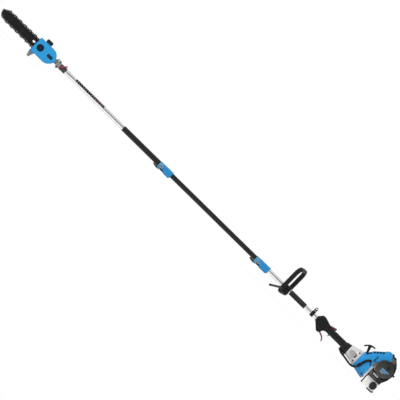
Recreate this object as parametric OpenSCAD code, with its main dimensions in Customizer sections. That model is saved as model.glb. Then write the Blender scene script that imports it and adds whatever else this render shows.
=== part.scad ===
// Petrol pole saw: bar and chain head on a telescoping pole, two-stroke engine at the lower end.
// X runs along the pole from the saw head to the engine, Z is up, millimetres.
// The origin is the centre of the eye on the harness clamp.

/* [Saw head] */
// Distance from the end of the upper tube to the sprocket shaft
head_gap = 130; // [130:1:134]
// Sprocket shaft to the outer tip of the chain
bar_reach = 357; // [320:1:420]
// Height of the bar across its two rails
bar_width = 52; // [48:1:54]
// Thickness of the bar
bar_thick = 4; // [3.6:0.1:4.4]
// Sideways distance from pole axis to bar
bar_offset = 30; // [30:1:32]
// Rivet spacing of the chain
chain_pitch = 9.525; // [9.3:0.05:9.8]
// Diameter of the oil filler cap
oil_cap_d = 42; // [36:1:46]
// How far the branch hook and the tank foot reach below the pole axis
foot_drop = 86; // [84:1:92]

/* [Pole] */
// Outer diameter of the mid and lower tubes
tube_d = 28; // [27:0.2:28.6]
// Wall of the mid and lower tubes
tube_wall = 1.5; // [1.2:0.1:1.8]
// Wall of the upper tube
upper_wall = 1; // [0.9:0.1:1.2]
// Thickness of the sleeve on the upper tube
sleeve_wall = 0.7; // [0.5:0.1:1]
// Exposed length of the upper tube above the sleeve
upper_exposed = 445; // [400:1:500]
// Length of the black sleeve
sleeve_len = 280; // [250:1:320]
// Exposed length of the mid tube between the clamps
mid_exposed = 650; // [640:1:720]
// Length of mid tube inside the upper section
overlap = 127; // [100:1:150]
// Exposed length of the lower tube in front of the loop handle
lower_exposed = 105; // [95:1:120]

/* [Pole clamps] */
// Length of the upper blue clamp
clamp_len = 94; // [92:1:102]
// Length of the lower blue clamp
lower_clamp_len = 100; // [96:1:106]
// Outer diameter of the clamp body
clamp_d = 36; // [35.4:0.2:38]
// How far the clamp lobe hangs below the pole axis
lobe_drop = 26; // [25:0.5:30]
// Diameter of the pull pin ring
pin_ring_d = 17.5; // [16:0.5:20]

/* [Handles] */
// Height of the loop handle above the pole axis
loop_top = 145; // [130:1:160]
// Distance between the centre lines of the two legs
loop_span = 120; // [112:1:130]
// Width of the loop handle along the pole
loop_w = 25; // [22:1:27]
// Radial thickness of the loop handle
loop_t = 20; // [18:1:22]
// Diameter of the barrier bar
barrier_d = 13.5; // [11:0.5:15]
// Length of the foam grip
foam_len = 114; // [100:1:116]
// Wall of the foam grip sleeve
foam_wall = 1.2; // [1:0.1:6]
// Radius of the hole in the harness eye
eye_r = 4.4; // [4:0.1:5]
// Height of the eye above the pole axis
eye_h = 34.6; // [32:0.1:38]
// Thickness of the eye plate
eye_t = 10; // [8:0.5:12]
// Diameter of the throttle handle grip
grip_d = 41; // [39:0.5:43]

/* [Engine] */
// Front edge of the clutch housing
clutch_x = 281; // [279:1:283]
// Large radius of the clutch housing
clutch_r = 48; // [46:1:50]
// Radius of the fan housing
fan_r = 66; // [64:1:68]
// Radius of the round air filter cover
cover_r = 51; // [49:1:52]
// Depth of the air filter cover
cover_depth = 35; // [30:1:40]
// Half width of the fuel tank
tank_half = 56; // [52:1:58]
// Diameter of the fuel cap
fuel_cap_d = 44; // [38:1:47]

/* [Hidden] */
$fn = 64;

play = 0.3;
running = 0.05;
blue = [0.18, 0.56, 0.81];
black = [0.13, 0.13, 0.13];
red = [0.55, 0.18, 0.24];
silver = [0.82, 0.81, 0.80];
steel = [0.62, 0.63, 0.65];

// Rows along the pole, all from the origin at the harness eye
loop_front_x = -231;
foam_d = tube_d + 2 * foam_wall;
lower_clamp_x = loop_front_x - lower_exposed - lower_clamp_len;
upper_clamp_x = lower_clamp_x - mid_exposed - clamp_len;
sleeve_x = upper_clamp_x - sleeve_len;
coupling_end_x = sleeve_x - upper_exposed;
upper_d = tube_d + 2 * play + 2 * upper_wall;
sleeve_d = upper_d + 2 * sleeve_wall;
mid_end_x = lower_clamp_x + 60;
mid_top_x = upper_clamp_x - overlap;
drive_tube_end_x = upper_clamp_x - 17;
sx = coupling_end_x - head_gap;
head_clamp_x = coupling_end_x - 56;
bar_y = -bar_offset;
bar_z = -4;

module at_pole() {
  translate([0, 0, -eye_h]) children();
}

module rod_x(x0, x1, d) {
  translate([x0, 0, 0]) rotate([0, 90, 0]) cylinder(h = x1 - x0, d = d);
}

module cone_x(x0, x1, d0, d1) {
  translate([x0, 0, 0]) rotate([0, 90, 0]) cylinder(h = x1 - x0, d1 = d0, d2 = d1);
}

module hex_x(x0, x1, flats) {
  translate([x0, 0, 0]) rotate([0, 90, 0]) cylinder(h = x1 - x0, d = flats / cos(30), $fn = 6);
}

module ring_x(x0, x1, outer, inner) {
  difference() {
    rod_x(x0, x1, outer);
    rod_x(x0 - 1, x1 + 1, inner);
  }
}

// Extrudes an outline drawn in X and Z from y0 to y1
module plate_y(y0, y1) {
  translate([0, y1, 0]) rotate([90, 0, 0]) linear_extrude(y1 - y0) children();
}

// Extrudes an outline drawn in Y and Z from x0 to x1
module plate_x(x0, x1) {
  translate([x0, 0, 0]) rotate([90, 0, 90]) linear_extrude(x1 - x0) children();
}

module rod_y(y0, y1, d) {
  translate([0, y1, 0]) rotate([90, 0, 0]) cylinder(h = y1 - y0, d = d);
}

module soft_rect(x0, y0, x1, y1, r) {
  union() {
    translate([x0 + r, y0]) square([x1 - x0 - 2 * r, y1 - y0]);
    translate([x0, y0 + r]) square([x1 - x0, y1 - y0 - 2 * r]);
    for (x = [x0 + r, x1 - r]) for (y = [y0 + r, y1 - r]) translate([x, y]) circle(r = r, $fn = 32);
  }
}

// A round rod from one point to another
module link_rod(a, b, d) {
  v = b - a;
  translate(a)
    rotate([0, acos(v[2] / norm(v)), atan2(v[1], v[0])])
      cylinder(h = norm(v), d = d, $fn = 24);
}

// Chain path in the plane of the bar, as rivet points round nose, rails and sprocket
wheel_r = 6 * chain_pitch / PI;
nose_r = 20;
belly_r = 80;
rail_w = bar_width / 2 + 2.5;
nose_x = -bar_reach + 7 + nose_r;
nose_a = asin((belly_r - rail_w) / (belly_r - nose_r));
belly_x = nose_x + (belly_r - nose_r) * cos(nose_a);
function rail(off) = concat(
  [for (a = [90 : -4 : nose_a]) [belly_x - (belly_r - off) * cos(a), rail_w - belly_r + (belly_r - off) *
    sin(a)]],
  [for (a = [nose_a : -12 : -nose_a]) [nose_x - (nose_r - off) * cos(a), (nose_r - off) * sin(a)]],
  [for (a = [-nose_a : -4 : -90]) [belly_x - (belly_r - off) * cos(a), belly_r - rail_w + (belly_r - off) *
    sin(a)]]);
path = concat([[-55, rail_w]], rail(0), [[-55, -rail_w]],
  [for (a = [-78 : 12 : 88]) [wheel_r * cos(a), wheel_r * sin(a) - bar_z]]);
path_n = len(path);
steps = [for (i = 0, d = 0; i <= path_n; d = d + norm(path[(i + 1) % path_n] - path[i % path_n]), i = i + 1)
  d];
chain_len = steps[path_n];
rivets = 2 * round(chain_len / chain_pitch / 2);
along_x = [for (i = [0 : path_n]) [steps[i], path[i % path_n][0]]];
along_z = [for (i = [0 : path_n]) [steps[i], path[i % path_n][1]]];
function rivet(i) = let (d = (i % rivets) * chain_len / rivets) [lookup(d, along_x), lookup(d, along_z)];

// Places a link drawn between two rivets, outward side down in its own drawing
module link_at(i) {
  a = rivet(i);
  b = rivet(i + 1);
  translate([sx + a[0], 0, bar_z + a[1]])
    rotate([0, -atan2(b[1] - a[1], b[0] - a[0]), 0]) children();
}

module guide_bar() {
  color(black) at_pole() translate([sx, bar_y, bar_z]) difference() {
    union() {
      for (y = [-bar_thick / 2, 0.8]) plate_y(y, y + bar_thick / 2 - 0.8)
        polygon(concat(rail(2.6), [[-60, -bar_width / 2 + 0.1], [-27, -12], [-27, 12],
          [-60, bar_width / 2 - 0.1]]));
      plate_y(-0.8, 0.8)
        polygon(concat(rail(9), [[-60, -bar_width / 2 + 7], [-29, -10], [-29, 10],
          [-60, bar_width / 2 - 7]]));
    }
    // mounting slot for the two studs, and the oval hole in front of the cover
    plate_y(-3, 3) soft_rect(-78, -4.2, -37, 4.2, 4.1);
    plate_y(-3, 3) soft_rect(-118, -4.7, -101, 5.5, 5);
  }
}

module drive_link() {
  plate_y(-0.6, 0.6)
    polygon([[-2.6, 2.2], [-2.6, -2.8], [chain_pitch + 2.6, -2.8], [chain_pitch + 2.6, 2.2],
      [chain_pitch * 0.82, 2.4], [chain_pitch * 0.55, 5.6], [chain_pitch * 0.2, 2.4]]);
}

module tie_strap(y) {
  plate_y(y, y + 1)
    polygon([[-2.4, 2.3], [-3, 1], [-3, -2.4], [-1.6, -3.6], [chain_pitch + 1.6, -3.6],
      [chain_pitch + 3, -2.4], [chain_pitch + 3, 1], [chain_pitch + 2.4, 2.3], [chain_pitch / 2, 1.2]]);
}

module cutter(y, side) {
  plate_y(y, y + 1)
    polygon([[-2.4, 2.3], [-4, 0], [-4.4, -7.4], [2.4, -8.6], [3.2, -4.4], [6.4, -4.4], [7.6, -7.6],
      [chain_pitch + 2.4, -7.2], [chain_pitch + 3, 1], [chain_pitch + 2.4, 2.3], [chain_pitch / 2, 1.2]]);
  plate_y(side > 0 ? y - 1.2 : y - 0.2, side > 0 ? y + 1.2 : y + 2.2)
    polygon([[-4.4, -7.4], [2.4, -8.6], [2.4, -7.5], [-4.3, -6.3]]);
}

// Loop of drive links, tie straps and cutters, every fourth rivet gap carries a cutter
module saw_chain() {
  color([0.2, 0.2, 0.2]) at_pole() translate([0, bar_y, 0]) {
    for (i = [0 : 2 : rivets - 2]) link_at(i) drive_link();
    for (i = [1 : 2 : rivets - 1]) link_at(i) {
      if (i % 8 == 3) {
        cutter(0.7, 1);
        tie_strap(-1.7);
      } else if (i % 8 == 7) {
        tie_strap(0.7);
        cutter(-1.7, -1);
      } else {
        tie_strap(0.7);
        tie_strap(-1.7);
      }
    }
  }
}

module drive_sprocket() {
  tooth_r = wheel_r - 7.8;
  color(steel) at_pole() translate([sx, bar_y, 0]) difference() {
    union() {
      rod_y(-2.2, 2.2, 2 * tooth_r - 5.2);
      for (k = [0 : 5]) rotate([0, 60 * k, 0]) translate([-2, -2.2, 5]) cube([4, 4.4, tooth_r - 5]);
      rod_y(2.2, 3.7, 20);
    }
    rod_y(-4, 6, 12);
  }
}

// Output shaft with its bevel gear, turning in the gear case
module output_gear_shaft() {
  color(steel) at_pole() translate([sx, 0, 0]) union() {
    rod_y(bar_y - 6, 23, 12);
    difference() {
      translate([0, 10.6, 0]) rotate([90, 0, 0]) cylinder(h = 4.7, r1 = 16, r2 = 8.8);
      for (k = [0 : 15]) rotate([0, 22.5 * k, 0]) translate([11, 4.4, -0.8])
        rotate([0, 0, 32]) cube([9, 2.4, 1.6]);
    }
    rod_y(10.6, 13, 32);
  }
}

module bevel_pinion() {
  color(steel) at_pole() union() {
    difference() {
      cone_x(sx + 9.6, sx + 16.6, 11.2, 19.6);
      for (k = [0 : 9]) rotate([36 * k, 0, 0]) translate([sx + 8, 6, -0.8])
        rotate([0, 0, 32]) cube([14, 3, 1.6]);
    }
    rod_x(sx + 16.6, coupling_end_x + 9, 8);
    hex_x(coupling_end_x + 9, coupling_end_x + 34, 8);
  }
}

function cover_outline() = [[-93, 39.5], [-90, 42.5], [-3, 42.5], [8, 42], [19, 39.5], [28, 34.5],
  [35.5, 28], [42, 20], [46.5, 12], [50, 4], [51.2, -4], [50, -12], [46.5, -20.5], [41, -28.5],
  [34, -36], [26, -42.5], [16, -47.5], [6, -50], [-4, -50.6], [-55, -50.6], [-63, -51], [-69, -52.3],
  [-75, -53.5], [-87, -53.5], [-93, -47.5]];
module cover_shape(inset) {
  translate([-21, -5.5]) scale([1 - inset / 72, 1 - inset / 48]) translate([21, 5.5])
    polygon(cover_outline());
}

hook_r = 8.6;
module gear_case() {
  color(silver * 0.66) at_pole() difference() {
    union() {
      // back plate behind the bar with the branch hook cast on
      translate([sx, 0, 0]) plate_y(bar_y + 4, -19) polygon([[-91, 38], [-88, 41], [0, 41], [11, 40],
        [22, 35], [34, 25], [43, 8], [46, -3], [42, -14], [31, -29], [19, -40], [5, -46.5], [-88, -46.5]]);
      translate([sx, 0, 0]) plate_y(bar_y + 4, -10) union() {
        polygon([[-98, -44], [-61, -44], [-65.5, -53], [-73.6, hook_r - foot_drop],
          [-90.6, hook_r - foot_drop], [-95.5, -60]]);
        translate([-82.1, hook_r - foot_drop]) circle(r = hook_r);
      }
      translate([sx, 0, 0]) rod_y(-19, 27, 60);
      rod_x(sx + 20, sx + 62, 25);
      rod_x(sx + 62, coupling_end_x - 22, 22);
      // small cast prong on the neck
      plate_y(-5, 3) polygon([[sx + 44, 10], [sx + 61, 28], [sx + 65, 24], [sx + 56, 8]]);
    }
    translate([sx, 0, 0]) rod_y(-14, 20, 44);
    translate([sx, 0, 0]) rod_y(-60, 24, 12 + 2 * running);
    rod_x(sx, sx + 34, 24);
    rod_x(sx + 30, sx + 63, 8 + 2 * running);
    rod_x(sx + 50, coupling_end_x, 14);
    for (x = [-70, -46]) translate([sx + x, 0, bar_z]) rod_y(-60, -10, 8);
  }
}

// Oil tank moulding behind the bar plate, hollow, with its filler neck on top
module oil_tank() {
  color(blue) at_pole() translate([sx, 0, 0]) difference() {
    union() {
      plate_y(-19, 31) soft_rect(-90, -43.8, -20, 41, 8);
      translate([-44, 5, 30]) cylinder(h = 14, d = 36);
    }
    plate_y(-15, 28) soft_rect(-87, -34, -34, 38, 6);
    translate([-44, 5, 30]) cylinder(h = 20, d = 30);
    for (x = [-70, -46]) translate([x, 0, bar_z]) rod_y(-20, -17, 14.6);
    rod_y(-20, 28, 60);
  }
}

module oil_cap() {
  color(black) at_pole() translate([sx - 44, 5, 44 + play]) union() {
    difference() {
      union() {
        cylinder(h = 15, d = oil_cap_d);
        translate([0, 0, 15]) cylinder(h = 5, d1 = oil_cap_d, d2 = oil_cap_d - 12);
      }
      for (a = [0 : 30 : 330]) rotate(a) translate([oil_cap_d / 2 + 1, 0, -1]) cylinder(h = 17, d = 5, $fn =
        24);
    }
    translate([0, 0, -8]) cylinder(h = 8, d = 29.2);
  }
}

// Side cover over the sprocket, open at the front for the bar, with its nut recess and side panel
module sprocket_cover() {
  color(blue) at_pole() translate([sx, 0, 0]) difference() {
    union() {
      difference() {
        union() {
          plate_y(-55, bar_y + 3.8) cover_shape(0);
          plate_y(-58, -54) cover_shape(3);
        }
        plate_y(-54.5, 0) cover_shape(4);
        translate([-100, bar_y - 6, -43]) cube([30, 30, 78]);
      }
      translate([-58, 0, bar_z]) rod_y(-57, bar_y - 6.5, 48);
    }
    translate([-58, 0, bar_z]) rod_y(-60, -41, 42);
    for (x = [-70, -46]) translate([x, 0, bar_z]) rod_y(-60, 0, 9);
    plate_y(-60, -56.2) soft_rect(-5, -13.5, 33, 5.5, 5);
  }
}

// Two studs in the gear case with their hexagon nuts in the cover's recess
module bar_nuts() {
  color(steel * 0.7) at_pole() for (x = [-70, -46]) translate([sx + x, 0, bar_z]) {
    rod_y(-49, -17.4, 8);
    translate([0, -41, 0]) rotate([90, 0, 0]) difference() {
      cylinder(h = 7, d = 15, $fn = 6);
      translate([0, 0, -1]) cylinder(h = 9, d = 8);
    }
  }
}

// Split ring that squeezes the gear case spigot, with an ear above and below
module head_clamp() {
  color(silver) at_pole() difference() {
    union() {
      rod_x(head_clamp_x - 11, head_clamp_x + 13, 31);
      for (s = [-1, 1]) plate_y(-12, 12) translate([head_clamp_x, s * 17]) circle(r = 7);
    }
    rod_x(sx + 60, coupling_end_x, 22);
    for (s = [-1, 1]) translate([head_clamp_x, 0, s * 17.5]) rod_y(-13, 13, 5);
    translate([head_clamp_x - 14, -1, 12]) cube([30, 2, 20]);
    translate([head_clamp_x - 14, -1, -32]) cube([30, 2, 20]);
  }
}

module socket_screw(len) {
  difference() {
    union() {
      cylinder(h = 5, d = 8.5);
      translate([0, 0, -len]) cylinder(h = len + 0.1, d = 5);
    }
    translate([0, 0, 2]) cylinder(h = 4, d = 4.6, $fn = 6);
  }
}

module head_clamp_screws() {
  color(black) at_pole() for (s = [-1, 1])
    translate([head_clamp_x, -12, s * 17.5]) rotate([90, 0, 0]) socket_screw(22);
}

// Coupling sleeve that joins the gear case spigot to the end of the upper tube
module head_coupling() {
  color(black) at_pole() difference() {
    union() {
      rod_x(coupling_end_x - 42, coupling_end_x, 34);
      plate_y(-18, -8) soft_rect(coupling_end_x - 40, -7, coupling_end_x - 26, 7, 6);
    }
    rod_x(coupling_end_x - 44, coupling_end_x - 20, 22);
    rod_x(coupling_end_x - 22, coupling_end_x + 1, upper_d);
    translate([coupling_end_x - 33, 0, 0]) rod_y(-20, -12, 6);
  }
}

module coupling_lever() {
  color(red) at_pole() union() {
    translate([coupling_end_x - 33, 0, 0]) rod_y(-18 - play, -12.5, 5.9);
    translate([coupling_end_x - 33, 0, 0]) rotate([0, -46, 0]) union() {
      plate_y(-22.5, -18 - play) soft_rect(-6, -4.5, 36, 4.5, 4);
      plate_y(-25, -22) soft_rect(20, -4.5, 36, 4.5, 4);
    }
  }
}

module upper_tube() {
  color(silver * 1.15) at_pole() ring_x(coupling_end_x - 22, upper_clamp_x + 13, upper_d, upper_d - 2 *
    upper_wall);
}

module upper_sleeve() {
  color(black) at_pole() ring_x(sleeve_x, upper_clamp_x, sleeve_d, upper_d);
}

lever_z = -clamp_d / 2 - 3.6;
pin_z = -4.5;
upper_pin_x = 20;
lower_pin_x = 29;
// Cam lever clamp on a tube joint: collar, hanging lobe, lever ears, latch block and pin boss
module pole_clamp(len, front_d, front_len, rear_bore, pin_x) {
  difference() {
    union() {
      rod_x(0, 34, clamp_d - 0.8);
      rod_x(34, len, clamp_d);
      intersection() {
        plate_y(-15, 15) soft_rect(42, -lobe_drop, len - 3, 0, 9);
        plate_x(38, len) union() {
          translate([0, 15 - lobe_drop]) circle(r = 15);
          translate([-15, 15 - lobe_drop]) square([30, lobe_drop]);
        }
      }
      for (y = [-14, 9]) plate_y(y, y + 5) union() {
        translate([10, lever_z]) circle(r = 6.4);
        translate([3.6, lever_z]) square([12.8, -lever_z - 3]);
      }
      translate([pin_x, 0, pin_z]) rod_y(-clamp_d / 2 - 0.5, -12, pin_ring_d + 3);
      plate_y(-8.6, 8.6) soft_rect(18.5, lever_z - 1.4, 44, -12, 1.2);
    }
    rod_x(-1, front_len, front_d);
    rod_x(front_len - 1, len + 1, rear_bore);
    translate([10, 0, lever_z]) rod_y(-20, 20, 5);
    // lever well and the pull pin's guide bore
    difference() {
      translate([-2, -9, -30]) cube([46, 18, 30 - sleeve_d / 2 - 0.2]);
      translate([18.5, -9, lever_z - 1.4]) cube([26, 18, 10]);
    }
    translate([pin_x, 0, pin_z]) rod_y(-20, -8, 8 + 2 * running);
    // slot that lets the body squeeze the tube
    translate([40, -1, 10]) cube([len, 2, 12]);
  }
}

module upper_clamp() {
  color(blue) at_pole() translate([upper_clamp_x, 0, 0]) difference() {
    pole_clamp(clamp_len, upper_d, 13, tube_d + 2 * play, upper_pin_x);
    rod_x(-1, 0.01, sleeve_d);
  }
}

// Cam lever: cam on its pivot pin, paddle lying along the underside of a tube of diameter d
module cam_lever(d) {
  top = -d / 2 - 0.7 - lever_z;
  plate_y(-8.5, 8.5) union() {
    circle(r = 4.8);
    polygon([[0, 4.8], [-10.8, 4.8], [-11.5, top], [-35, top], [-38, top - 1.2], [-38.5, 0.6],
      [-36, -1.5], [-22, -5.4], [-10, -6.8], [-1, -6.6], [4.6, -3.6], [5, -1], [4.8, 0]]);
  }
  rod_y(-14, 14, 4.9);
}

module upper_clamp_lever() {
  color(black) at_pole() translate([upper_clamp_x + 10, 0, lever_z]) cam_lever(sleeve_d);
}

// Ring shaped pull knob with its plunger resting on the inner tube
module pull_pin() {
  face_y = -clamp_d / 2 - 0.5;
  color(silver) difference() {
    union() {
      rod_y(face_y - 4, face_y - play, pin_ring_d);
      rod_y(face_y - 1.5, -tube_d / 2 - 0.6, 8);
    }
    rod_y(face_y - 6, face_y - 2, 9);
    for (a = [0 : 30 : 330]) rotate([0, a, 0]) translate([pin_ring_d / 2 + 0.6, 0, 0])
      rod_y(face_y - 6, face_y + 2, 3, $fn = 16);
  }
}

module upper_pull_pin() {
  at_pole() translate([upper_clamp_x + upper_pin_x, 0, pin_z]) pull_pin();
}

// Tubular drive shaft with a hexagon bore that the mid rod slides in
module upper_drive_tube() {
  color(steel) at_pole() difference() {
    rod_x(coupling_end_x + 9 + play, drive_tube_end_x, 14);
    hex_x(coupling_end_x, drive_tube_end_x + 1, 8.6);
  }
}

module mid_tube() {
  color(black) at_pole() ring_x(mid_top_x, mid_end_x, tube_d, tube_d - 2 * tube_wall);
}

module mid_drive_rod() {
  color(steel) at_pole() union() {
    hex_x(mid_top_x, mid_end_x - 17, 8);
    difference() {
      rod_x(mid_end_x - 18, mid_end_x + 12, 14);
      hex_x(mid_end_x - 15, mid_end_x + 13, 6.6);
    }
  }
}

module lower_clamp() {
  color(blue) at_pole() translate([lower_clamp_x, 0, 0])
    pole_clamp(lower_clamp_len, tube_d + 2 * play, 62, tube_d, lower_pin_x);
}

module lower_clamp_lever() {
  color(black) at_pole() translate([lower_clamp_x + 10, 0, lever_z]) cam_lever(tube_d);
}

module lower_pull_pin() {
  at_pole() translate([lower_clamp_x + lower_pin_x, 0, pin_z]) pull_pin();
}

module lower_tube() {
  color(silver * 1.15) at_pole() ring_x(mid_end_x + 2, clutch_x + 11, tube_d, tube_d - 2 * tube_wall);
}

module lower_drive_shaft() {
  color(steel) at_pole() union() {
    hex_x(mid_end_x - 13, mid_end_x + 14, 6);
    rod_x(mid_end_x + 13.5, clutch_x + 21, 8);
  }
}

module shaft_bushes() {
  color([0.85, 0.83, 0.75]) at_pole() for (x = [mid_end_x + 40, -50, 230])
    ring_x(x, x + 15, tube_d - 2 * tube_wall, 8 + 2 * running);
}

// Closed loop handle: two legs, squared arch, bar under the pole with the lower saddle,
// turned a little about the upright so that the near leg stands further forward
loop_x = loop_front_x + 29;
loop_turn = -14.5;
loop_tilt = 5;
arch_r = 36;
arch_z = loop_top - loop_t / 2 - arch_r;
module loop_section() {
  soft_rect(-loop_t / 2, -loop_w / 2, loop_t / 2, loop_w / 2, 7);
}

module loop_corner(y, z, r, turn) {
  translate([0, y, z]) rotate([90, 0, 90]) rotate([0, 0, turn])
    rotate_extrude(angle = 90) translate([r, 0]) loop_section();
}

module loop_ring() {
  half = loop_span / 2;
  for (s = [-1, 1]) translate([0, s * half, -11]) linear_extrude(arch_z + 11) rotate(90) loop_section();
  loop_corner(half - arch_r, arch_z, arch_r, 0);
  loop_corner(arch_r - half, arch_z, arch_r, 90);
  loop_corner(20 - half, -11, 20, 180);
  loop_corner(half - 20, -11, 20, 270);
  for (z = [-31, arch_z + arch_r]) translate([0, half - (z < 0 ? 20 : arch_r), z]) rotate([90, 0, 0])
    linear_extrude(loop_span - 2 * (z < 0 ? 20 : arch_r)) rotate(90) loop_section();
}

module saddle_holes() {
  rod_x(-50, 50, tube_d);
  for (x = [-17, 17]) for (y = [-20, 20]) translate([x, y, -27]) cylinder(h = 60, d = 5);
}

module loop_handle() {
  color(black) at_pole() translate([loop_x, 0, 0]) rotate([loop_tilt, 0, 0]) difference() {
    union() {
      rotate([0, 0, loop_turn]) loop_ring();
      plate_x(-27, 27) soft_rect(-26, -28, 26, 0, 5);
    }
    saddle_holes();
    barrier_core();
  }
}

module loop_clamp_cap() {
  color(black) at_pole() translate([loop_x, 0, 0]) rotate([loop_tilt, 0, 0]) difference() {
    plate_x(-27, 27) soft_rect(-26, 0.4, 26, 19, 5);
    saddle_holes();
  }
}

// Barrier bar that keeps the feet away from the work, out from the near leg
module barrier_core() {
  link_rod([-14, -loop_span / 2 - 3, -8], [-68, -loop_span / 2 - 150, -31], barrier_d);
}

module barrier_bar() {
  color(black) at_pole() translate([loop_x, 0, 0]) rotate([loop_tilt, 0, 0]) barrier_core();
}

module foam_grip() {
  color([0.16, 0.16, 0.16]) at_pole() difference() {
    union() {
      rod_x(loop_front_x + 62, loop_front_x + 62 + foam_len, foam_d - 1);
      for (k = [0 : 8]) rod_x(loop_front_x + 64 + k * foam_len / 9, loop_front_x + 64 + (k + 0.7) * foam_len
        / 9, foam_d);
    }
    rod_x(loop_front_x, loop_front_x + 62 + foam_len + 9, tube_d);
  }
}

// Band clamp with an upright eye for the harness hook
module harness_clamp() {
  color(black) at_pole() difference() {
    union() {
      rod_x(-10, 10, tube_d + 5);
      plate_y(-eye_t / 2, eye_t / 2) union() {
        translate([0, eye_h]) circle(r = 8.8);
        translate([-8.8, 10]) square([17.6, eye_h - 10]);
      }
    }
    rod_x(-11, 11, tube_d);
    translate([0, 0, eye_h]) rod_y(-20, 20, 2 * eye_r);
    translate([-11, -0.6, 10]) cube([22, 1.2, 12]);
    translate([0, 0, 21.5]) rod_y(-20, 20, 5);
  }
}

// Throttle handle in two halves: nose with trigger pocket, round grip, flared rear end
module throttle_body() {
  union() {
    rod_x(97, 240, grip_d);
    translate([0, 0, -5]) {
      cone_x(235, 255, 42, 61);
      cone_x(255, clutch_x, 61, 69);
    }
    rod_x(33, 46, 33);
    intersection() {
      plate_y(-19, 19) polygon([[35, 15], [46, 29], [52, 36], [61, 38], [72, 37.4], [110, 25], [128, 18],
        [128, -18], [109, -23], [102, -33], [97, -46], [88, -52], [77, -52], [40, -17]]);
      plate_x(30, 132) soft_rect(-19, -54, 19, 39, 12);
    }
  }
}

module throttle_inside() {
  rod_x(20, clutch_x + 1, tube_d);
  // trigger pocket, lockout pocket, switch pocket, cable outlet
  plate_y(-5.5, 5.5) polygon([[72, -60], [72, -28], [97, -28], [114, -15.5], [146, -15.5], [146, -60]]);
  plate_y(-5.5, 5.5) polygon([[107, 14.4], [107, 40], [166, 40], [166, 14.4]]);
  translate([136, -5.5, -40]) cube([24, 11, 25]);
  link_rod([214, -8, -16], [259.6, -13, -41], 11);
  translate([82, 0, -38]) rod_y(-30, 30, 4);
  translate([115, 0, 18.5]) rod_y(-12, 12, 3);
}

module throttle_shell_left() {
  color(black) at_pole() difference() {
    intersection() {
      throttle_body();
      translate([0, 0, -100]) cube([400, 100, 200]);
    }
    throttle_inside();
  }
}

module throttle_shell_right() {
  color(black) at_pole() difference() {
    intersection() {
      throttle_body();
      translate([0, -100, -100]) cube([400, 100, 200]);
    }
    throttle_inside();
  }
}

// Curved finger trigger on its pin
module trigger() {
  color(red) at_pole() union() {
    translate([82, 0, -38]) rod_y(-8, 8, 3.9);
    plate_y(-5, 5) union() {
      translate([82, -38]) circle(r = 6);
      polygon([[80, -32.4], [95, -37.5], [113, -45], [126, -51.5], [134, -58], [138.5, -66], [139.6, -75],
        [137.5, -77.8], [134, -76.6], [132.4, -69], [127.5, -61.8], [118, -56], [101, -48.8], [82, -44]]);
    }
  }
}

// Palm lockout on top of the grip, hinged at its front end
module lockout_lever() {
  color(red) at_pole() union() {
    translate([115, 0, 18.5]) rod_y(-8, 8, 2.9);
    plate_y(-5, 5) polygon([[110, 18.5], [112, 22.5], [116, 23.5], [146, 31.8], [155, 34.3], [158, 33.5],
      [159, 21], [119, 16], [113, 16]]);
  }
}

module stop_switch() {
  color(black * 1.6) at_pole() plate_y(-5, 5) polygon([[139, -20], [139, -16.5], [152, -16.5], [152, -20],
    [148.5, -22], [148, -30], [144, -30.5], [142.5, -22]]);
}

// Throttle cable in its sleeve, from the handle round the clutch housing to the carburettor
cable_run = [[237, -10, -29], [259.6, -13, -41], [293, -24, -46], [321, -36, -51], [353, -52, -53],
  [374, -66, -43], [383, -74, -25], [389, -76, 2], [398, -72, 26], [409, -67, 37], [421, -61, 38]];
module throttle_cable() {
  color([0.1, 0.1, 0.1]) at_pole() union() {
    for (i = [0 : len(cable_run) - 2]) link_rod(cable_run[i], cable_run[i + 1], 10);
    for (i = [1 : len(cable_run) - 2]) translate(cable_run[i]) sphere(d = 10.6, $fn = 24);
    translate([384, -75, -19]) sphere(d = 18, $fn = 24);
  }
}

// Cast clutch housing, a cone that widens towards the engine, with a recessed side panel
housing_x = clutch_x + 71;
flange_screws = [53, 127, 233, 307];
module clutch_housing() {
  color(silver) at_pole() difference() {
    union() {
      cone_x(clutch_x, housing_x, 66, 2 * clutch_r);
      rod_x(housing_x - 8, housing_x + 2.5, 2 * clutch_r + 4);
      for (a = flange_screws) rotate([a, 0, 0]) translate([0, 0, clutch_r - 2])
        rod_x(housing_x - 7, housing_x, 13);
    }
    rod_x(clutch_x - 1, clutch_x + 11, tube_d);
    rod_x(clutch_x + 10, clutch_x + 22, 16 + 2 * running);
    rod_x(clutch_x + 22, housing_x + 4, 64);
    for (a = flange_screws) rotate([a, 0, 0]) translate([0, 0, clutch_r - 2]) {
      rod_x(housing_x - 10, housing_x + 1, 5);
      rod_x(housing_x - 27, housing_x - 6.5, 9.5);
    }
    // seat of the screw that locates the tube
    translate([housing_x - 21, 0, 33]) cylinder(h = 8, d = 5);
    translate([housing_x - 21, 0, 40]) cylinder(h = 10, d = 9.5);
    // side panel with an arc-shaped slot beside it
    plate_y(-70, -34.5) soft_rect(clutch_x + 10, -22, clutch_x + 47.5, 15, 9);
    plate_y(-70, -35) intersection() {
      difference() {
        translate([clutch_x + 31, -1]) circle(r = 25.5);
        translate([clutch_x + 31, -1]) circle(r = 20.5);
      }
      translate([clutch_x + 46, -13]) square([20, 24]);
    }
  }
}

module clutch_drum() {
  color(steel) at_pole() union() {
    difference() {
      union() {
        rod_x(clutch_x + 12, clutch_x + 24, 16);
        rod_x(clutch_x + 23, clutch_x + 56, 62);
      }
      rod_x(clutch_x + 27, clutch_x + 57, 56.5);
      rod_x(clutch_x, clutch_x + 21, 8);
    }
  }
}

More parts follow.
